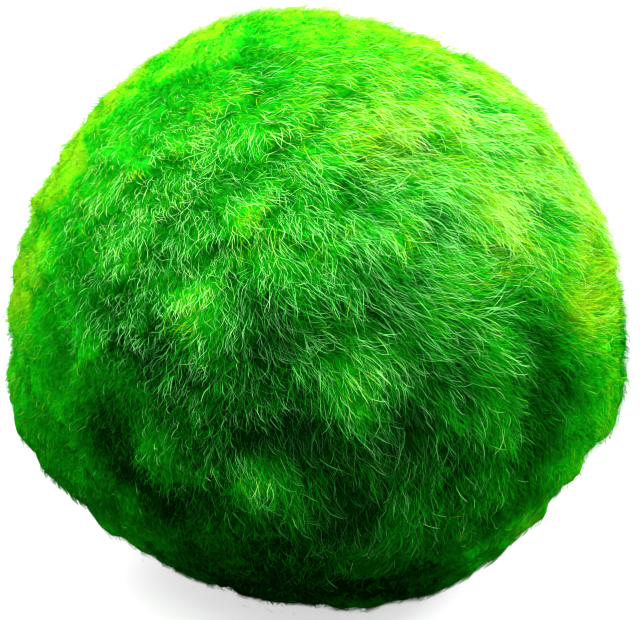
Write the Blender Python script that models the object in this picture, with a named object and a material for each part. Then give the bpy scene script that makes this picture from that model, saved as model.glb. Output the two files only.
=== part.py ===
"""A marimo moss ball: one round mass of green alga with a small flat spot that it rests on.

Metres, +Z up. The origin is on the resting surface, under the middle of the ball, and the front faces -Y.
The solid reaches the tips of the filaments.
"""

import math

import bmesh
import bpy
from mathutils import Vector, noise

# Driving dimensions
DIAMETER = 0.050  # across the tips of the filaments
FLAT_RADIUS = 0.0066  # of the flat spot underneath
SUBDIVISIONS = 5  # of the icosphere that the ball starts as

# The ball's large swells and hollows, each a smooth rise round one direction:
# degrees right of the front, degrees above level, half width in degrees, height in metres.
SWELLS = {
    "left_lobe": (-83, -20, 14, 0.0015),
    "left_side": (-88, -4, 24, 0.0002),
    "right_lobe": (84, -16, 15, 0.0009),
    "right_foot": (48, -60, 18, 0.0003),
    "shoulder_slope": (134, 61, 19, -0.0014),
    "right_slope": (94, 14, 24, -0.0007),
    "lower_left_dip": (-50, -60, 16, -0.0007),
    "brow": (-12, 24, 13, 0.0005),
    "under_brow": (-3, 13, 8, -0.0006),
    "tongue": (4, 2, 8, 0.0006),
    "low_tuft": (-6, -17, 9, 0.0005),
    "hanging_tuft": (-29, -14, 9, 0.0004),
    "right_sheet": (30, 9, 12, 0.0003),
    "right_valley": (50, 5, 8, -0.0009),
    "crown": (-49, 60, 22, 0.0003),
    "back_lobe": (160, 5, 28, 0.0006),
    "back_hollow": (-140, -20, 18, -0.0006),
}

# The uneven growth all over: how fine it is, its height in metres, and where it reads the noise.
GROWTH = (
    (2.2, 0.00045, Vector((3.1, 7.4, 1.9))),
    (5.5, 0.00030, Vector((8.2, 2.6, 5.3))),
)

MOSS_GREEN = (0.045, 0.42, 0.02, 1.0)
SHARP_ANGLE = math.radians(50)


def clear_scene():
    for obj in list(bpy.data.objects):
        bpy.data.objects.remove(obj, do_unlink=True)


def new_collection(name):
    collection = bpy.data.collections.new(name)
    bpy.context.scene.collection.children.link(collection)
    return collection


def matte_material(name, colour, roughness):
    material = bpy.data.materials.new(name)
    material.use_nodes = True
    shader = material.node_tree.nodes["Principled BSDF"]
    shader.inputs["Base Color"].default_value = colour
    shader.inputs["Roughness"].default_value = roughness
    shader.inputs["Metallic"].default_value = 0.0
    return material


def towards(right, above):
    """The unit vector that points so many degrees right of the front and above level."""
    turn = math.radians(right)
    rise = math.radians(above)
    return Vector((math.sin(turn) * math.cos(rise), -math.cos(turn) * math.cos(rise), math.sin(rise)))


def reach(direction):
    """How far the filament tips are from the ball's centre in one direction."""
    distance = DIAMETER / 2
    for right, above, half_width, height in SWELLS.values():
        apart = direction.angle(towards(right, above)) / math.radians(half_width)
        distance += height * math.exp(-apart * apart)
    for fineness, height, place in GROWTH:
        distance += height * noise.noise(direction * fineness + place)
    return distance


def shape_ball(bm):
    """An icosphere about its own centre, pushed out or in to where the tips are."""
    bmesh.ops.create_icosphere(bm, subdivisions=SUBDIVISIONS, radius=1.0)
    for vert in bm.verts:
        direction = vert.co.normalized()
        vert.co = direction * reach(direction)


def stand_over_origin(bm):
    """Moves the ball so that its box is centred over the origin and its flat spot will be at the base."""
    for axis in (0, 1):
        along = [vert.co[axis] for vert in bm.verts]
        middle = (min(along) + max(along)) / 2
        for vert in bm.verts:
            vert.co[axis] -= middle
    underneath = reach(Vector((0, 0, -1)))
    height = math.sqrt(underneath**2 - FLAT_RADIUS**2)
    bmesh.ops.translate(bm, verts=bm.verts, vec=(0, 0, height))


def flatten_base(bm):
    """Cuts off what is below the resting surface and closes the cut with one flat face."""
    everything = bm.verts[:] + bm.edges[:] + bm.faces[:]
    cut = bmesh.ops.bisect_plane(
        bm, geom=everything, plane_co=(0, 0, 0), plane_no=(0, 0, 1), clear_inner=True
    )
    rim = [part for part in cut["geom_cut"] if isinstance(part, bmesh.types.BMEdge)]
    bmesh.ops.contextual_create(bm, geom=rim)
    bmesh.ops.recalc_face_normals(bm, faces=bm.faces)


def moss_ball(collection):
    mesh = bpy.data.meshes.new("moss_ball")
    bm = bmesh.new()
    shape_ball(bm)
    stand_over_origin(bm)
    flatten_base(bm)
    bm.to_mesh(mesh)
    bm.free()
    mesh.shade_smooth()
    mesh.set_sharp_from_angle(angle=SHARP_ANGLE)
    mesh.materials.append(matte_material("moss", MOSS_GREEN, 0.95))
    ball = bpy.data.objects.new("moss_ball", mesh)
    collection.objects.link(ball)
    return ball


clear_scene()
moss_ball(new_collection("marimo_moss_ball"))
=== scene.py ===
import math

import bmesh
import bpy
import numpy as np
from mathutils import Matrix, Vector, noise
from mathutils.bvhtree import BVHTree
from mathutils.kdtree import KDTree


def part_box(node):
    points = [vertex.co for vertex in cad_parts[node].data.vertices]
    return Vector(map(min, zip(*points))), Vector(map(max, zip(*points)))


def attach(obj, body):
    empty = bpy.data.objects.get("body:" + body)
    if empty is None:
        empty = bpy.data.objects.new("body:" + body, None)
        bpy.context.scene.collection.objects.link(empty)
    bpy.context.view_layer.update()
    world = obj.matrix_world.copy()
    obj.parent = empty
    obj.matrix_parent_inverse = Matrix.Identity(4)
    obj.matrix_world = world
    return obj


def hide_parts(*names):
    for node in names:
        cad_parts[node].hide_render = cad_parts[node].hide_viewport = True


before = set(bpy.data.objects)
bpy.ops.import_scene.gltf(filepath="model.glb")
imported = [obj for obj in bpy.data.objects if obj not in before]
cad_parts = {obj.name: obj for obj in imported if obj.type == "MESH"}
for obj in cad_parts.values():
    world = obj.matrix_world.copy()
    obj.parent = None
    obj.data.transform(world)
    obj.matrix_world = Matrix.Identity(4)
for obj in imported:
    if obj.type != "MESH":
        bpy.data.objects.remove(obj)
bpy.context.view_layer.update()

# ------------------------------------------------------------------ the matted middle
# A marimo has no stone inside: its middle is the same green threads, matted into a dense felt.
# It shows as the soft green between the outer threads, and its lumps carry the tufts.

FELT_DEPTH = 0.0013  # below the tips, where the threads are long
FLOOR_GAP = 0.00015  # between the lowest threads and the surface that the ball rests on
FELT_CUTS = 2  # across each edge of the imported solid
TUFTS = 320  # all over the ball
TUFT_STEP = 0.00050  # that a tuft's loose end stands over the next one
SEED = 7

# The tufts, hollows and sweeps that show most: degrees right of the front, degrees above level, half width
# in degrees, height in metres, how much brighter the threads are painted, and degrees that their comb is
# turned.
# The brightness is mostly painted light and shade: darker in the hollows and gaps where shade falls, lighter
# and lime on the lit tufts, rims and top.
LUMPS = {
    "lime_tuft": (-23, 16, 5, 0.0006, 0.20, -18),
    "ledge_left": (-35, 15, 6, 0.0003, -0.10, 0),
    "ledge_middle": (-8, 23, 8, 0.0005, -0.08, 0),
    "ledge_right": (14, 21, 7, 0.0004, -0.24, 15),
    "under_ledge": (-5, 11, 7, -0.0009, -0.24, 0),
    "upper_gaps": (-24, 31, 8, -0.0005, 0.02, 0),
    "top_light": (8, 51, 13, 0.0001, 0.12, 0),
    "side_hollow": (-29, 8, 7, -0.0005, -0.34, 0),
    "middle_hollow": (-11, -1, 7, -0.0006, -0.34, 0),
    "tongue": (6, 5, 6, 0.0007, 0.14, 0),
    "tongue_tip": (8, -2, 5, 0.0009, 0.12, 0),
    "under_tongue": (9, -9, 7, -0.0006, -0.08, 0),
    "sheet_hollow": (24, 7, 7, -0.0006, -0.27, 22),
    "under_sheet": (28, -9, 7, -0.0007, -0.08, 0),
    "valley_top": (42, 14, 6, -0.0006, -0.10, 0),
    "valley": (46, 6, 7, -0.0016, -0.50, 0),
    "valley_foot": (44, -15, 7, -0.0006, -0.30, 0),
    "right_lobe": (70, 12, 13, 0.0006, 0.12, 0),
    "low_tuft": (-13, -13, 8, 0.0009, 0.28, 40),
    "hanging_tuft": (-28, -10, 6, 0.0006, 0.21, 12),
    "lower_left_gap": (-22, -10, 7, -0.0009, -0.33, 0),
    "left_gap": (-44, 14, 6, -0.0005, -0.20, 0),
    "left_cheek": (-72, 8, 20, 0.0002, 0.20, 0),
    "right_strip": (34, -19, 8, 0.0006, 0.22, 0),
    "right_foot": (62, -36, 22, 0.0000, 0.42, 0),
    "left_foot": (-72, -32, 20, 0.0008, 0.21, 0),
    "sun_patch": (34, 40, 16, 0.0000, 0.06, 0),
    "small_tuft": (16, -26, 6, 0.0005, 0.10, 0),
    "left_of_tongue": (0, -6, 6, -0.0006, -0.42, 0),
    "right_of_tongue": (16, -4, 7, -0.0008, -0.44, 0),
    "left_low_gap": (-40, -11, 7, -0.0006, -0.34, 0),
    "low_gap": (6, -19, 7, -0.0006, -0.40, 0),
    "upper_left_gap": (-18, 40, 8, -0.0004, -0.32, 0),
    "upper_right_gap": (8, 38, 7, -0.0004, -0.18, 0),
    "brow": (-12, 32, 8, 0.0004, 0.16, 0),
    "right_sheet": (42, 22, 13, 0.0002, 0.20, 0),
    "right_rim": (84, -18, 12, 0.0000, 0.12, 0),
    "small_tuft_right": (13, -12, 6, 0.0006, 0.20, 0),
    "right_slope": (36, -7, 8, 0.0003, 0.06, 0),
    "left_rim": (-84, -12, 12, 0.0000, 0.20, 0),
    "shoulder_right": (98, 32, 14, -0.0009, 0.00, 0),
    "shoulder_back": (138, 62, 18, -0.0009, 0.00, 0),
    "shoulder_left": (-107, 40, 12, -0.0008, 0.00, 0),
    "right_edge_tuft": (32, 6, 7, 0.0004, 0.16, 10),
    "left_middle": (-48, 2, 7, 0.0002, 0.12, 0),
    "middle_light": (-18, 15, 6, 0.0003, 0.16, 0),
    "crest": (-7, 27, 6, 0.0002, 0.13, 0),
    "lobe_top": (55, 11, 9, 0.0004, 0.25, 0),
    "floor_tuft": (14, -54, 9, 0.0003, 0.18, 0),
    "lower_left": (-42, -30, 13, 0.0000, 0.10, 0),
    "left_brow": (-62, 28, 13, 0.0000, 0.04, 0),
    "left_lime": (-92, 45, 16, 0.0000, 0.16, 0),
    "upper_left_light": (-24, 49, 7, 0.0002, 0.12, 0),
    "crown_green": (-25, 63, 9, 0.0000, -0.04, 0),
    "top_green": (6, 66, 7, 0.0000, -0.02, 0),
    "pale_ridge_top": (32, 58, 7, 0.0003, 0.08, 0),
    "pale_ridge": (36, 46, 7, 0.0004, 0.10, 0),
    "pale_ridge_foot": (40, 33, 7, 0.0003, 0.14, 0),
    "right_lobe_foot": (68, -7, 13, 0.0004, 0.06, 0),
    "left_hem": (-56, -54, 14, 0.0000, 0.22, 0),
    "right_hem": (56, -54, 14, 0.0003, 0.06, 0),
    "top_light_right": (13, 47, 8, 0.0001, 0.16, 0),
    "small_gap": (28, -14, 6, -0.0004, -0.14, 0),
    "dark_foot": (-10, -45, 15, 0.0000, -0.20, 0),
    "valley_low": (49, -3, 5, -0.0010, -0.20, 0),
    "middle_gap": (-14, 10, 6, -0.0003, -0.14, 0),
    "left_sweep": (-62, 24, 18, 0.0000, 0.00, 28),
    "middle_sweep": (-17, 13, 9, 0.0000, 0.00, -34),
    "right_sweep": (30, -4, 10, 0.0000, 0.00, 15),
    "upper_sweep": (18, 33, 11, 0.0000, 0.00, -18),
    "left_shade": (-55, 5, 8, 0.0000, -0.12, 0),
    "low_left_shade": (-30, -20, 8, -0.0003, -0.26, 0),
    "right_of_brow": (21, 28, 7, 0.0000, 0.14, 0),
    "top_lime": (60, 78, 16, 0.0000, 0.16, 0),
    "low_left_sweep": (-60, -12, 14, 0.0000, 0.00, -14),
    "upper_left": (-52, 54, 16, 0.0000, -0.05, 0),
    "top_left_lime": (-130, 60, 18, 0.0000, 0.16, 0),
    "crown_top": (-22, 60, 13, 0.0000, -0.11, 0),
    "pale_patch": (56, 37, 8, 0.0000, 0.10, 0),
    "upper_middle_light": (-10, 49, 6, 0.0000, 0.02, 0),
    "dark_hem": (30, -50, 9, 0.0000, -0.18, 0),
    "under_ledge_right": (18, 13, 5, -0.0002, -0.14, 0),
    "right_strip_foot": (38, -27, 6, 0.0000, -0.20, 0),
    "ledge_foot": (23, 16, 6, 0.0000, 0.14, 0),
    "back_tuft": (170, 18, 11, 0.0006, 0.12, 20),
    "back_gap": (150, 2, 9, -0.0007, -0.24, 0),
    "back_gap_left": (-160, 6, 9, -0.0007, -0.22, 0),
    "back_curtain": (-175, -14, 10, 0.0006, 0.16, -15),
    "back_low_gap": (170, -28, 10, -0.0006, -0.22, 0),
    "back_light": (-165, 34, 12, 0.0003, 0.12, 0),
    "side_gap_right": (114, -8, 9, -0.0005, -0.16, 0),
    "side_tuft_right": (108, 12, 9, 0.0005, 0.08, 15),
    "side_gap_left": (-120, -2, 9, -0.0005, -0.18, 0),
    "side_tuft_left": (-114, -20, 9, 0.0005, 0.12, -15),
    "brow_sweep": (11, 24, 9, 0.0000, 0.00, 20),
    "sheet_sweep": (27, 12, 8, 0.0000, 0.00, 14),
    "tongue_sweep": (8, -6, 7, 0.0000, 0.00, 26),
    "valley_sweep": (54, 0, 9, 0.0000, 0.00, -14),
    "crown_light": (-24, 72, 9, 0.0000, 0.10, 0),
    "right_limb": (92, 3, 10, 0.0000, 0.14, 0),
    "left_upper_lime": (-82, 45, 12, 0.0000, 0.14, 0),
    "crown_left": (-42, 60, 9, 0.0000, -0.06, 0),
    "top_right_lime": (100, 62, 14, 0.0000, 0.12, 0),
    "left_limb": (-88, 9, 9, 0.0000, 0.15, 0),
    "sheet_gap": (36, 4, 6, -0.0003, -0.08, 0),
    "parting_left": (-31, 34, 7, 0.0000, 0.00, 22),
    "parting_right": (-18, 36, 7, 0.0000, 0.00, -26),
    "parting_low": (-12, 25, 7, 0.0000, 0.00, -18),
    "ledge_sweep": (-3, 16, 5, 0.0000, 0.00, 18),
    "tongue_left_sweep": (-5, -5, 6, 0.0000, 0.00, -12),
    "left_side_light": (-50, 32, 13, 0.0000, 0.07, 0),
    "brow_top_sweep": (-4, 35, 5, 0.0000, 0.00, 14),
    "right_strip_hem": (40, -32, 7, 0.0000, 0.08, 0),
    "slope_light": (37, 50, 8, 0.0000, 0.07, 0),
    "sheet_light": (43, 27, 5, 0.0000, 0.12, 0),
    "ridge_shade": (28, 31, 5, 0.0000, -0.10, 0),
    "valley_side": (61, 4, 5, 0.0000, 0.10, 0),
}

rng = np.random.default_rng(SEED)
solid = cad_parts["moss_ball"]
box_low, box_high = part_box("moss_ball")
HEART = np.array((box_low + box_high) / 2)
UP = np.array((0.0, 0.0, 1.0))


def unit(vectors):
    """Each vector with its length made 1."""
    return vectors / np.maximum(np.linalg.norm(vectors, axis=-1, keepdims=True), 1e-12)


def towards(right, above):
    """The direction so many degrees right of the front and above level."""
    turn, rise = math.radians(right), math.radians(above)
    return np.array((math.sin(turn) * math.cos(rise), -math.cos(turn) * math.cos(rise), math.sin(rise)))


def smoothstep(low, high, x):
    """0 up to low, 1 from high on, and a smooth rise between them. It falls where low is above high."""
    t = np.clip((x - low) / (high - low), 0, 1)
    return t * t * (3 - 2 * t)


def smooth_noise(directions, fineness, place):
    """A smooth random value for each direction, about -0.5 to 0.5."""
    at = directions * fineness + np.array(place)
    return np.array([noise.noise(p) for p in at])


def reach_grid(steps_round=180, steps_up=90):
    """How far the tips are from the heart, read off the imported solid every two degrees."""
    bm = bmesh.new()
    bm.from_mesh(solid.data)
    tree = BVHTree.FromBMesh(bm)
    bm.free()
    heart = Vector(HEART)
    grid = np.empty((steps_up + 1, steps_round + 1))
    for row in range(steps_up + 1):
        above = -90 + 180 * row / steps_up
        for column in range(steps_round + 1):
            right = -180 + 360 * column / steps_round
            grid[row, column] = tree.ray_cast(heart, Vector(towards(right, above)))[3]
    return grid


REACH_GRID = reach_grid()


def reach(directions):
    """How far the tips are from the heart along each direction."""
    above = np.degrees(np.arcsin(np.clip(directions[..., 2], -1, 1)))
    right = np.degrees(np.arctan2(directions[..., 0], -directions[..., 1]))
    row = (above + 90) / 180 * (REACH_GRID.shape[0] - 1)
    column = (right + 180) / 360 * (REACH_GRID.shape[1] - 1)
    r0 = np.clip(row.astype(int), 0, REACH_GRID.shape[0] - 2)
    c0 = np.clip(column.astype(int), 0, REACH_GRID.shape[1] - 2)
    fr, fc = row - r0, column - c0
    low = REACH_GRID[r0, c0] * (1 - fc) + REACH_GRID[r0, c0 + 1] * fc
    high = REACH_GRID[r0 + 1, c0] * (1 - fc) + REACH_GRID[r0 + 1, c0 + 1] * fc
    return low * (1 - fr) + high * fr


def even_directions(count, jitter):
    """Directions spread evenly over the ball, each moved a little at random."""
    i = np.arange(count) + 0.5
    z = 1 - 2 * i / count
    turn = math.pi * (1 + math.sqrt(5)) * i
    flat = np.sqrt(1 - z * z)
    directions = np.stack([flat * np.cos(turn), flat * np.sin(turn), z], 1)
    spacing = math.sqrt(4 * math.pi / count)
    return unit(directions + rng.normal(0, jitter * spacing, (count, 3)))


def on_surface(vectors, directions):
    """The part of each vector that lies along the surface."""
    return unit(vectors - directions * np.sum(vectors * directions, 1, keepdims=True))


def turned(lie, directions, angle):
    """A surface direction turned about the ball's outward direction."""
    across = np.cross(directions, lie)
    angle = np.asarray(angle)[:, None]
    return lie * np.cos(angle) + across * np.sin(angle)


def lumps(directions):
    """The height of the named lumps in each direction, their painted light and shade, and their turn."""
    effects = np.zeros((3, len(directions)))
    for right, above, half_width, *effect in LUMPS.values():
        apart = np.degrees(np.arccos(np.clip(directions @ towards(right, above), -1, 1)))
        effects += np.outer(effect, np.exp(-((apart / half_width) ** 2)))
    return effects


# The threads' tones: dark, green, bright green and lime.
DARK, GREEN, BRIGHT, LIME = 0.0, 0.30, 0.55, 0.80
COMB_FROM = towards(-107, -11)  # where the comb over the top starts
FACE = towards(3, 18)  # the middle of the front's long threads
BACK = towards(180, -5)  # the middle of the back's long threads


def shaggy(directions):
    """1 where the threads are long, on the front and back, and 0 where they are short like velvet."""
    x, _, z = directions.T
    upper_right = np.maximum(x, 0) * smoothstep(-0.05, 0.30, z)
    lower_left = np.maximum(-x, 0) * smoothstep(0.30, -0.10, z)
    front = smoothstep(0.35, 0.76, directions @ FACE + 0.25 * upper_right - 0.5 * lower_left)
    return np.maximum(front, smoothstep(0.25, 0.65, directions @ BACK))


def combed(directions):
    """The way that the threads lie: swept right over the top, and hanging down on the left and below."""
    x, _, z = directions.T
    swept = on_surface(-COMB_FROM + 0 * directions, directions)
    down = on_surface(-UP + 0 * directions, directions)
    hang = np.clip(0.78 - 0.28 * x - 0.49 * z, 0, 1)[:, None]
    lie = on_surface(swept * (1 - hang) + down * hang, directions)
    wander = 14 * smooth_noise(directions, 3.0, (5.2, 1.3, 9.1))
    return turned(lie, directions, np.radians(wander + lumps(directions)[2]))


# Tufts are the big overlapping bunches, a few millimetres across, laid like shingles down the comb.
tuft_directions = even_directions(TUFTS, jitter=0.28)
tuft_lie = combed(tuft_directions)
tuft_tones = rng.normal(0, 1, TUFTS)
tuft_turns = rng.normal(0, 0.26, TUFTS)
tuft_heights = rng.normal(0, 0.55, TUFTS)
tuft_tree = KDTree(TUFTS)
for index, direction in enumerate(tuft_directions):
    tuft_tree.insert(Vector(direction), index)
tuft_tree.balance()


def tuft_of(directions):
    """The relief, tone and turn of the tuft in each direction.

    The relief goes from -1 where the tuft starts to 1 at its loose end, plus the tuft's own height.
    """
    places = ((1, 5, 2), (7, 3, 8), (4, 9, 6))
    wobble = 0.05 * np.stack([smooth_noise(directions, 9.0, place) for place in places], 1)
    nearest = np.array([tuft_tree.find(Vector(d))[1] for d in unit(directions + wobble)])
    apart = directions - tuft_directions[nearest]
    width = math.sqrt(4 * math.pi / TUFTS)
    along = np.sum(apart * tuft_lie[nearest], 1) / (0.5 * width)
    relief = np.clip(along, -1, 1) + tuft_heights[nearest]
    return relief, tuft_tones[nearest], tuft_turns[nearest]


def felt_reach(directions, relief):
    """How far the felt's surface is from the heart."""
    small_lumps = 0.0006 * smooth_noise(directions, 14.0, (3.3, 2.1, 7.7))
    depth = FELT_DEPTH * (0.5 + 0.5 * shaggy(directions))
    step = TUFT_STEP * (0.4 + 0.6 * shaggy(directions)) * relief
    return reach(directions) - depth + step + small_lumps + lumps(directions)[0]


def dapple(directions):
    """0 in the patches that stay pure green where painted light turns the rest lime, and 1 between them."""
    spots = smooth_noise(directions, 14.0, (4.7, 3.8, 6.1))
    spots += 0.6 * smooth_noise(directions, 27.0, (2.2, 8.4, 1.7))
    return smoothstep(-0.30, 0.02, spots)


def tone_with_painted_light(directions):
    """How bright the threads are for where they grow.

    The ball is painted near black underneath, a painted shade, and green above, painted light where it falls
    from above. Painted light turns the sides and the top lime, and the back less so.
    """
    x, _, z = directions.T
    # Painted shade and light: darker towards the bottom, where shade falls, brighter up where light falls.
    light = 0.03 + 0.32 * smoothstep(-0.90, 0.30, z) + 0.14 * smoothstep(0.30, 0.85, z)
    waver = smooth_noise(directions, 7.0, (6.1, 2.9, 3.3))
    # Painted light: the lime reaches nearer to the front on the right side than on the left side.
    sideways = directions @ FACE - 0.40 * np.maximum(x, 0) + 0.2 * waver
    behind = smoothstep(0.0, 0.45, 0.3 * waver - directions @ FACE)
    upper = smoothstep(-0.02 - 0.2 * behind, 0.18 + 0.2 * behind, z - 0.06 * x + 0.1 * waver)
    sunny = smoothstep(0.43, 0.03, sideways) * upper * (1 - 0.65 * behind)
    patches = 0.10 * smooth_noise(directions, 6.0, (9.4, 5.5, 1.2))
    patches = patches * (1 - 0.6 * smoothstep(0.30, 0.60, z))
    spots = dapple(directions)
    tone = light + sunny * (0.20 + 0.38 * spots) + patches + lumps(directions)[1]
    # Past bright green the dapples part the painted lime light from pure green, and on top, where light
    # falls, the darker tones are painted evened out.
    duller = np.maximum(BRIGHT - tone, 0) * (1 - 0.5 * smoothstep(0.45, 0.75, z))
    limier = np.maximum(tone - BRIGHT, 0) * (0.08 + 1.22 * spots) * (1 - 0.6 * behind)
    return BRIGHT - duller + limier


def felt_material():
    material = bpy.data.materials.new("matted felt")
    material.use_nodes = True
    tree = material.node_tree
    shader = tree.nodes["Principled BSDF"]
    shader.inputs["Roughness"].default_value = 1.0
    shader.inputs["Specular IOR Level"].default_value = 0.0
    place = tree.nodes.new("ShaderNodeTexCoord")
    speckle = tree.nodes.new("ShaderNodeTexNoise")
    speckle.inputs["Scale"].default_value = 2500.0
    speckle.inputs["Detail"].default_value = 3.0
    tone = tree.nodes.new("ShaderNodeAttribute")
    tone.attribute_name = "tone"
    blend = tree.nodes.new("ShaderNodeMath")
    blend.operation = "MULTIPLY_ADD"
    blend.inputs[1].default_value = 0.5
    spread = tree.nodes.new("ShaderNodeMath")
    spread.operation = "SUBTRACT"
    spread.inputs[1].default_value = 0.25
    ramp = tree.nodes.new("ShaderNodeValToRGB")
    elements = ramp.color_ramp.elements
    elements[0].position = 0.05
    elements[0].color = (0.0007, 0.015, 0.0006, 1)
    elements[1].position = 0.80
    elements[1].color = (0.18, 0.55, 0.004, 1)
    middle = elements.new(0.30)
    middle.color = (0.002, 0.17, 0.002, 1)
    bright = elements.new(0.55)
    bright.color = (0.004, 0.47, 0.003, 1)
    tree.links.new(place.outputs["Object"], speckle.inputs["Vector"])
    tree.links.new(speckle.outputs["Fac"], blend.inputs[0])
    tree.links.new(tone.outputs["Fac"], blend.inputs[2])
    tree.links.new(blend.outputs[0], spread.inputs[0])
    tree.links.new(spread.outputs[0], ramp.inputs["Fac"])
    tree.links.new(ramp.outputs["Color"], shader.inputs["Base Color"])
    return material


def felt_body():
    bm = bmesh.new()
    bm.from_mesh(solid.data)
    bmesh.ops.remove_doubles(bm, verts=bm.verts, dist=1e-6)
    bmesh.ops.triangulate(bm, faces=bm.faces)
    bmesh.ops.subdivide_edges(bm, edges=bm.edges, cuts=FELT_CUTS, use_grid_fill=True)
    places = np.array([vert.co for vert in bm.verts])
    directions = unit(places - HEART)
    relief, tuft_tone, _ = tuft_of(directions)
    places = HEART + directions * felt_reach(directions, relief)[:, None]
    places[:, 2] = np.maximum(places[:, 2], FLOOR_GAP * 3)
    for vert, place in zip(bm.verts, places):
        vert.co = place
    bmesh.ops.recalc_face_normals(bm, faces=bm.faces)
    mesh = bpy.data.meshes.new("matted_felt")
    bm.to_mesh(mesh)
    bm.free()
    mesh.shade_smooth()
    # Painted shade: the felt is darker in the low start of each tuft and under the long front threads, and
    # lighter at the tufts' raised ends.
    tone = tone_with_painted_light(directions) + 0.08 * relief + 0.03 * tuft_tone - 0.08 * shaggy(directions)
    mesh.attributes.new("tone", "FLOAT", "POINT").data.foreach_set("value", tone.astype(np.float32))
    mesh.materials.append(felt_material())
    felt = bpy.data.objects.new("matted_felt", mesh)
    bpy.context.scene.collection.objects.link(felt)
    return felt


def ride_moss(piece):
    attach(piece, "root")
    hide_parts("moss_ball")


ride_moss(felt_body())

# ------------------------------------------------------------------ the undercoat
# Short, dense threads that fill the ball between the tufts. Each is one branch of the alga, a tapering
# green hair under 0.1 mm thick, rooted in the felt and leaning over the way the ball is combed.

MOST_BENT = math.radians(115)  # from straight out of the ball


def grow(roots, start, lie, length, rise, points, curl, swerve, wave):
    """Points along each thread, from its root to its tip.

    rise is how far above its root each thread's tip ends, curl how much it bends over on the way,
    swerve how much it bends sideways, and wave how much it bends to and fro.
    """
    count = len(roots)
    lean = np.arccos(np.clip(rise / length, 0.05, 0.97))
    across = np.cross(roots, lie)
    steps = points - 1
    path = np.empty((count, points, 3))
    path[:, 0] = start
    phase = rng.uniform(0, 2 * math.pi, count)
    waves = rng.uniform(0.7, 1.6, count)
    for k in range(steps):
        s = (k + 0.5) / steps
        angle = np.clip(lean + curl * (s - 0.5), 0, MOST_BENT)[:, None]
        heading = roots * np.cos(angle) + lie * np.sin(angle)
        sway = swerve * (s - 0.35) + wave * np.cos(phase + 2 * math.pi * waves * s)
        heading = unit(heading + across * sway[:, None])
        path[:, k + 1] = path[:, k] + heading * (length / steps)[:, None]
    return path


PRESSED_DEPTH = 0.0004  # of the layer of flattened threads under the ball


def keep_off_floor(path):
    """Threads under the ball are pressed flat on the surface that it rests on."""
    pressed = FLOOR_GAP + PRESSED_DEPTH * rng.random(path.shape[:2])
    path[..., 2] = np.maximum(path[..., 2], pressed)
    return path


TWIST = 0.4  # radians from the middle of a thread to its end
TAPER = 0.7  # of the width is gone near the tip
STRIP = 0.002  # half of a thread's width on the map
MAP_EDGE = 0.01  # kept clear of threads round the map


def ribbons(name, path, width, tone, roll_spread, material):
    """One mesh of pointed ribbons, one along each path. Its map holds tone across and root to tip up.

    roll_spread is how far the ribbons are rolled about their own length, in radians.
    """
    count, points, _ = path.shape
    along = np.gradient(path, axis=1)
    out = unit(path - HEART)
    side = unit(np.cross(along, out))
    other = unit(np.cross(along, side))
    roll = rng.normal(0, roll_spread, (count, 1))
    roll = roll + rng.normal(0, TWIST, (count, 1)) * np.linspace(-1, 1, points)
    side = side * np.cos(roll)[..., None] + other * np.sin(roll)[..., None]
    s = np.linspace(0, 1, points)
    half = width[:, None] / 2 * (1 - TAPER * s**2)
    left = path - side * half[..., None]
    right = path + side * half[..., None]
    pairs = np.stack([left[:, :-1], right[:, :-1]], 2).reshape(count, -1, 3)
    verts = np.concatenate([pairs, path[:, -1:]], 1)
    per = verts.shape[1]
    quads = points - 2
    k = np.arange(quads)
    quad = np.stack([2 * k, 2 * k + 1, 2 * k + 3, 2 * k + 2], 1).ravel()
    tip = np.array([2 * quads, 2 * quads + 1, per - 1])
    corners = np.concatenate([quad, tip])
    loops = (np.arange(count)[:, None] * per + corners).ravel()
    sizes = np.tile(np.array([4] * quads + [3]), count)
    mesh = bpy.data.meshes.new(name)
    mesh.vertices.add(count * per)
    mesh.vertices.foreach_set("co", verts.astype(np.float32).ravel())
    mesh.loops.add(len(loops))
    mesh.loops.foreach_set("vertex_index", loops.astype(np.int32))
    mesh.polygons.add(len(sizes))
    mesh.polygons.foreach_set("loop_start", np.concatenate([[0], np.cumsum(sizes)[:-1]]).astype(np.int32))
    mesh.update(calc_edges=True)
    mesh.validate()
    mesh.shade_smooth()
    u = np.array([-1, 1] * (points - 1) + [0]) * STRIP
    v = np.concatenate([np.repeat(s[:-1], 2), [1.0]])
    uv = np.empty((count, per, 2))
    uv[..., 0] = np.clip(tone, MAP_EDGE, 1 - MAP_EDGE)[:, None] + u
    uv[..., 1] = MAP_EDGE + (1 - 2 * MAP_EDGE) * v
    layer = mesh.uv_layers.new(name="OFBake")
    layer.uv.foreach_set("vector", uv.reshape(-1, 2)[loops].astype(np.float32).ravel())
    mesh.materials.append(material)
    piece = bpy.data.objects.new(name, mesh)
    bpy.context.scene.collection.objects.link(piece)
    return piece


def thread_ramp(tree, colours):
    ramp = tree.nodes.new("ShaderNodeValToRGB")
    ramp.color_ramp.interpolation = "EASE"
    elements = ramp.color_ramp.elements
    for _ in range(len(colours) - 2):
        elements.new(0.5)
    for element, (position, colour) in zip(elements, colours):
        element.position = position
        element.color = (*colour, 1)
    return ramp


# Where the pale threads lie across the map, beyond the lime ones. Their pale tips are partly a painted
# highlight.
PALE_DIM, PALE_GREEN, PALE_LIME = 0.86, 0.92, 0.99


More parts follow.
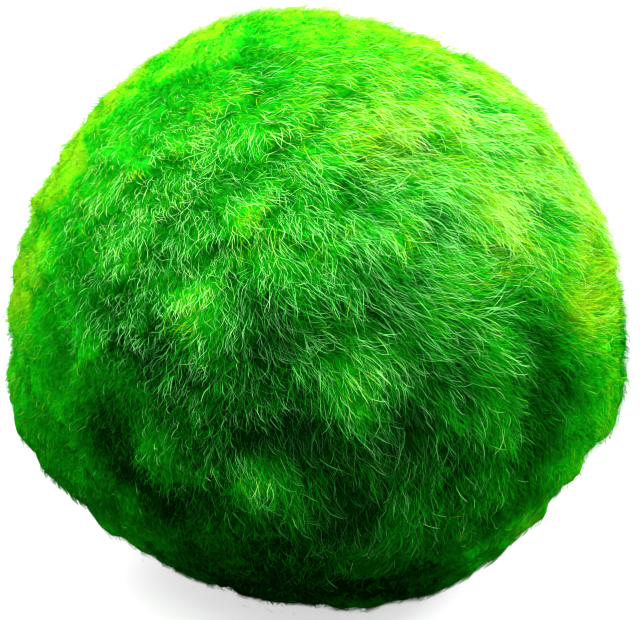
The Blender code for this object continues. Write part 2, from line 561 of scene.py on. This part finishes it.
def thread_material():
    """Green hair: painted dark at the root, a painted shade deep in the coat, and bright at the tip,
    from deep green threads to yellow-green ones.
    """
    material = bpy.data.materials.new("moss threads")
    material.use_nodes = True
    tree = material.node_tree
    shader = tree.nodes["Principled BSDF"]
    shader.inputs["Roughness"].default_value = 0.6
    shader.inputs["Specular IOR Level"].default_value = 0.0
    own_map = tree.nodes.new("ShaderNodeUVMap")
    own_map.uv_map = "OFBake"
    parts = tree.nodes.new("ShaderNodeSeparateXYZ")
    tree.links.new(own_map.outputs["UV"], parts.inputs[0])
    # Colours from root to tip of the dark, green, bright green and lime threads, then of the pale ones.
    # The dark roots are painted shade; the lime tips and the pale tips are painted light.
    shades = (
        ((0.0, (0.0005, 0.011, 0.0004)), (0.5, (0.0010, 0.024, 0.0010)), (1.0, (0.0020, 0.04, 0.0021))),
        ((0.0, (0.001, 0.09, 0.001)), (0.5, (0.005, 0.24, 0.004)), (1.0, (0.013, 0.32, 0.010))),
        ((0.0, (0.001, 0.32, 0.001)), (0.5, (0.005, 0.48, 0.003)), (1.0, (0.014, 0.55, 0.005))),
        ((0.0, (0.06, 0.42, 0.001)), (0.45, (0.30, 0.57, 0.006)), (1.0, (0.46, 0.69, 0.020))),
        ((0.0, (0.001, 0.02, 0.001)), (0.4, (0.010, 0.08, 0.012)), (1.0, (0.038, 0.19, 0.046))),
        ((0.0, (0.003, 0.14, 0.003)), (0.4, (0.08, 0.60, 0.08)), (1.0, (0.27, 0.96, 0.25))),
        ((0.0, (0.006, 0.30, 0.003)), (0.4, (0.30, 0.78, 0.09)), (1.0, (0.64, 1.00, 0.34))),
    )
    ramps = [thread_ramp(tree, shade) for shade in shades]
    for ramp in ramps:
        tree.links.new(parts.outputs["Y"], ramp.inputs["Fac"])
    colour = ramps[0].outputs["Color"]
    # The lime threads end on the map before the pale ones start, so the change between them is steep.
    pale_begins = (LIME + 0.02, LIME + 0.03)
    pale_joins = (pale_begins, (PALE_DIM, PALE_GREEN), (PALE_GREEN, PALE_LIME))
    joins = ((DARK, GREEN), (GREEN, BRIGHT), (BRIGHT, LIME)) + pale_joins
    for ramp, (begins, ends) in zip(ramps[1:], joins):
        share = tree.nodes.new("ShaderNodeMapRange")
        share.inputs["From Min"].default_value = begins
        share.inputs["From Max"].default_value = ends
        tree.links.new(parts.outputs["X"], share.inputs["Value"])
        mix = tree.nodes.new("ShaderNodeMix")
        mix.data_type = "RGBA"
        tree.links.new(share.outputs["Result"], mix.inputs["Factor"])
        tree.links.new(colour, mix.inputs["A"])
        tree.links.new(ramp.outputs["Color"], mix.inputs["B"])
        colour = mix.outputs["Result"]
    tree.links.new(colour, shader.inputs["Base Color"])
    return material


def pale_tone(tone):
    """Moves threads of a tone to the pale ones of the same brightness."""
    return np.interp(tone, (DARK, 0.34, 0.72), (PALE_DIM, PALE_GREEN, PALE_LIME))


def untidy(directions):
    """How curly and criss-cross the threads are: least on the right and most on the left."""
    left = smoothstep(0.35, -0.60, directions[:, 0])
    low = 0.4 * smoothstep(0.25, -0.05, directions[:, 2])
    return np.maximum(np.maximum(left, low), 0.6 - 0.6 * shaggy(directions))


FLAT = towards(-38, 50)
FLAT_WIDTH = math.radians(30)


def flattened(directions):
    """1 on the upper left, where the threads lie flat and straight, and 0 away from it."""
    return np.exp(-((np.arccos(np.clip(directions @ FLAT, -1, 1)) / FLAT_WIDTH) ** 2))


# How much the bunches differ, and each thread from its bunch. Turns and bends are in radians.
LOCK_TURN, LOCK_RISE, LOCK_CURL, LOCK_SWERVE = 0.28, 0.00015, 0.2, 0.35
LOCK_SIZES, OWN_SIZES = (0.8, 1.2), (0.65, 1.2)
OWN_RISE, OWN_CURL, OWN_SWERVE = 0.00025, 0.35, 0.30
LEAST_RISE, MOST_RISE = 0.0002, 0.0040
LOCK_TONE, OWN_TONE = 0.08, 0.08
# The brightest that a place makes its threads, before these differences.
BRIGHTEST_PLACE = 0.82


def grow_locks(locks, threads, spread, size, rise, points, curl, pull, stray):
    """Small bunches of threads. The threads of a bunch lie nearly one way and draw in a little together.

    spread is how wide the bunches' roots are for their spacing, pull how far the tips draw in, and stray
    how far each thread turns from its bunch, in radians. The rest is as in grow.
    """
    base = even_directions(locks, jitter=0.3)
    _, _, tuft_turn = tuft_of(base)
    lie = turned(combed(base), base, tuft_turn + rng.normal(0, LOCK_TURN, locks))
    lock_size = size * rng.uniform(*LOCK_SIZES, locks)
    lock_rise = rise + rng.normal(0, LOCK_RISE, locks)
    lock_curl = curl + rng.normal(0, LOCK_CURL, locks)
    lock_swerve = rng.normal(0, LOCK_SWERVE, locks)
    which = np.repeat(np.arange(locks), threads)
    count = len(which)
    spacing = math.sqrt(4 * math.pi / locks)
    roots = unit(base[which] + rng.normal(0, spread * spacing, (count, 3)))
    relief, tuft_tone, _ = tuft_of(roots)
    start = HEART + roots * felt_reach(roots, relief)[:, None]
    mess = untidy(roots)
    flat = flattened(roots)
    own_turn = rng.normal(0, 1, count) * stray * (0.6 + 0.5 * mess) * (1 - 0.3 * flat)
    own_lie = turned(on_surface(lie[which], roots), roots, own_turn)
    long = shaggy(roots)
    under = smoothstep(-0.20, -0.60, roots[:, 2])
    own_size = lock_size[which] * rng.uniform(*OWN_SIZES, count) * (1 - 0.4 * mess) * (0.65 + 0.35 * long)
    own_rise = np.clip(lock_rise[which] + rng.normal(0, OWN_RISE, count), LEAST_RISE, MOST_RISE)
    own_rise = own_rise * (0.5 + 0.5 * long) * (1 - 0.7 * under) * (1 - 0.55 * flat)
    own_curl = lock_curl[which] + rng.normal(0, OWN_CURL, count) * (1 + mess)
    own_curl = own_curl * (1 - 0.6 * under) * (1 - 0.55 * flat)
    own_swerve = lock_swerve[which] + rng.normal(0, OWN_SWERVE, count) * (1 + mess) * (1 - 0.4 * flat)
    wave = 0.10 + 0.24 * mess
    path = grow(roots, start, own_lie, own_size, own_rise, points, own_curl, own_swerve, wave)
    middle = path.reshape(locks, threads, points, 3).mean(1)
    draw = pull * np.linspace(0, 1, points) ** 1.3
    path = path + draw[None, :, None] * (middle[which] - path)
    # The edges between the dapples are a little ragged, so a thread takes its tone from near its own middle.
    near = unit(unit(path.mean(1) - HEART) + rng.normal(0, 0.012, (count, 3)))
    tone = tone_with_painted_light(near)
    # Painted shade and light: threads rooted low in a tuft are darker, and those at its raised end lighter.
    tone = tone + (0.06 * relief + 0.04 * tuft_tone) * (1 - 0.7 * smoothstep(0.42, 0.62, tone))
    tone = np.minimum(tone, BRIGHTEST_PLACE)
    tone = tone + rng.normal(0, LOCK_TONE, locks)[which] + rng.normal(0, OWN_TONE, count)
    return roots, keep_off_floor(path), np.clip(tone, MAP_EDGE, LIME)


threads_green = thread_material()

roots, path, tone = grow_locks(
    locks=4000, threads=9, spread=0.60, size=0.0015, rise=0.0005, points=3, curl=0.8, pull=0.0, stray=0.45
)
width = rng.uniform(0.00005, 0.00007, len(roots))
# Painted shade: the undercoat is a little darker than the tufts that lie over it.
shaded_tone = tone - 0.04
upper = roots[:, 2] > 0
for name, here in (("undercoat_upper", upper), ("undercoat_lower", ~upper)):
    piece = ribbons(name, path[here], width[here], shaded_tone[here], 0.3, threads_green)
    ride_moss(piece)

# ------------------------------------------------------------------ the tufts
# The long threads that make the ball's surface, each a branch that grew out past the undercoat. They lie in
# small bunches over the overlapping tufts, all combed one way like fur.


def quarters(name, roots, path, width, tone, roll_spread):
    """The threads of a layer as four pieces: the ball's front, right, back and left."""
    turn = np.arctan2(roots[:, 0], -roots[:, 1])
    quarter = np.round(turn / (math.pi / 2)).astype(int) % 4
    for number, side in enumerate(("front", "right", "back", "left")):
        here = quarter == number
        piece = ribbons(f"{name}_{side}", path[here], width[here], tone[here], roll_spread, threads_green)
        ride_moss(piece)


def pale_share(directions):
    """What share of the outer threads is pale, partly a painted highlight: most on the front, few below in
    the shade and on the lime right side.
    """
    x, _, z = directions.T
    share = 0.18 + 0.36 * smoothstep(-0.30, 0.25, z) + 0.12 * smoothstep(-0.20, -0.60, x)
    share += 0.14 * smoothstep(0.10, 0.45, x) * smoothstep(0.35, 0.65, z)
    share = share * (0.08 + 1.22 * dapple(directions))
    fewer = 1 - 0.7 * np.maximum(smoothstep(0.72, 0.92, z - 0.12 * x), smoothstep(-0.75, -0.95, x))
    right_side = smoothstep(0.15, 0.80, x) * smoothstep(0.62, 0.25, z)
    return (0.04 + shaggy(directions) * share * fewer) * (1 - 0.9 * right_side)


roots, path, tone = grow_locks(
    locks=5400, threads=11, spread=0.50, size=0.0024, rise=0.0008, points=4, curl=1.7, pull=0.12, stray=0.40
)
width = rng.uniform(0.000045, 0.00006, len(roots)) * (0.75 + 0.25 * shaggy(roots))
# Some tuft threads are painted pale, partly a painted highlight on the lit outer threads.
tone = np.where(rng.random(len(roots)) < 0.4 * pale_share(roots), pale_tone(tone), tone)
quarters("tufts", roots, path, width, tone, roll_spread=0.4)

# ------------------------------------------------------------------ the pale threads
# Single fine threads of the same alga, long and curled, that stand out of the tufts and cross over them.
# Many are paler than the rest, partly a painted highlight on the lit outer threads, most of all on the
# front.

roots, path, tone = grow_locks(
    locks=15500, threads=4, spread=0.7, size=0.0028, rise=0.0011, points=5, curl=1.7, pull=0.0, stray=0.45
)
width = rng.uniform(0.000037, 0.000046, len(roots)) * (0.75 + 0.25 * shaggy(roots))
tone = np.where(rng.random(len(roots)) < pale_share(roots), pale_tone(tone), tone)
quarters("pale_threads", roots, path, width, tone, roll_spread=0.5)

# ------------------------------------------------------------------ the fuzz
# Loose ends of the finest threads of the alga. They stand out of the tufts every way, a soft halo round the
# ball, and there are fewer of them below.

FUZZ_REACH = 0.0014  # at most, past where the threads grew

roots, path, tone = grow_locks(
    locks=21000, threads=2, spread=0.8, size=0.0013, rise=0.0005, points=3, curl=1.2, pull=0.0, stray=1.6
)
stand_out = 0.0004 + rng.exponential(0.0003, len(roots))
path = path + (roots * np.minimum(stand_out, FUZZ_REACH)[:, None])[:, None]
width = rng.uniform(0.000024, 0.000034, len(roots))
fluffy = rng.random(len(roots)) < smoothstep(-0.90, 0.10, roots[:, 2])
# Painted light: the fuzz under the middle is painted lighter, a light rim round the dark underside.
tone = tone + 0.20 * smoothstep(0.0, -0.5, roots[:, 2])
quarters("fuzz", roots[fluffy], path[fluffy], width[fluffy], tone[fluffy], roll_spread=0.5)

# ------------------------------------------------------------------ the studio
# A plain pale floor, one large soft lamp over the ball and a weak one at each side, in a dim pale room.
# The camera looks a little down on the ball's front, as in the photograph.

FLOOR_REACH = 2.5  # from the middle of the floor to each edge

floor_mesh = bpy.data.meshes.new("floor")
bm = bmesh.new()
bmesh.ops.create_grid(bm, x_segments=1, y_segments=1, size=FLOOR_REACH)
bm.to_mesh(floor_mesh)
bm.free()
floor = bpy.data.objects.new("floor", floor_mesh)
bpy.context.scene.collection.objects.link(floor)
floor_paint = bpy.data.materials.new("pale floor")
floor_paint.use_nodes = True
floor_shader = floor_paint.node_tree.nodes["Principled BSDF"]
floor_shader.inputs["Base Color"].default_value = (0.5, 0.5, 0.5, 1)
floor_shader.inputs["Roughness"].default_value = 0.9
floor_shader.inputs["Emission Color"].default_value = (1, 1, 1, 1)
floor_shader.inputs["Emission Strength"].default_value = 0.6
floor_mesh.materials.append(floor_paint)
floor.visible_diffuse = False

world = bpy.data.worlds.new("room")
bpy.context.scene.world = world
world.use_nodes = True
sky = world.node_tree
background = sky.nodes["Background"]
coord = sky.nodes.new("ShaderNodeTexCoord")
split = sky.nodes.new("ShaderNodeSeparateXYZ")
rise_ramp = sky.nodes.new("ShaderNodeMapRange")
rise_ramp.inputs["From Min"].default_value = -0.15
rise_ramp.inputs["From Max"].default_value = 0.5
rise_ramp.inputs["To Min"].default_value = 0.22
rise_ramp.inputs["To Max"].default_value = 0.70
sky.links.new(coord.outputs["Generated"], split.inputs[0])
sky.links.new(split.outputs["Z"], rise_ramp.inputs["Value"])
sky.links.new(rise_ramp.outputs["Result"], background.inputs["Strength"])
background.inputs["Color"].default_value = (1, 1, 1, 1)


def soft_lamp(name, place, size, power):
    """A square lamp of so many metres and watts, aimed at the ball's middle."""
    lamp = bpy.data.lights.new(name, "AREA")
    lamp.size = size
    lamp.energy = power
    holder = bpy.data.objects.new(name, lamp)
    bpy.context.scene.collection.objects.link(holder)
    holder.location = place
    aim = Vector(HEART) - Vector(place)
    holder.rotation_euler = aim.to_track_quat("-Z", "Y").to_euler()


soft_lamp("overhead", (0.03, -0.03, 0.45), 0.90, 12.1)
soft_lamp("right", (0.45, 0.05, 0.20), 0.40, 2.4)
soft_lamp("left", (-0.45, 0.0, 0.14), 0.40, 1.0)

scene = bpy.context.scene
scene.view_settings.view_transform = "Standard"
scene.cycles.filter_width = 1.1

CAMERA_ABOVE = 20  # degrees above level
VIEW_WIDTH = 0.0525  # that the picture spans at the ball
# A little below and beside the ball's heart, to frame the ball as in the photograph.
AIM = HEART + np.array((0.0002, 0, -0.0007))
camera = bpy.data.cameras.new("camera")
camera.lens = 135
camera_object = bpy.data.objects.new("camera", camera)
scene.collection.objects.link(camera_object)
distance = VIEW_WIDTH * camera.lens / camera.sensor_width
camera_object.location = Vector(AIM + towards(0, CAMERA_ABOVE) * distance)
camera_object.rotation_euler = (math.radians(90 - CAMERA_ABOVE), 0, 0)
camera.clip_start = 0.01
scene.camera = camera_object
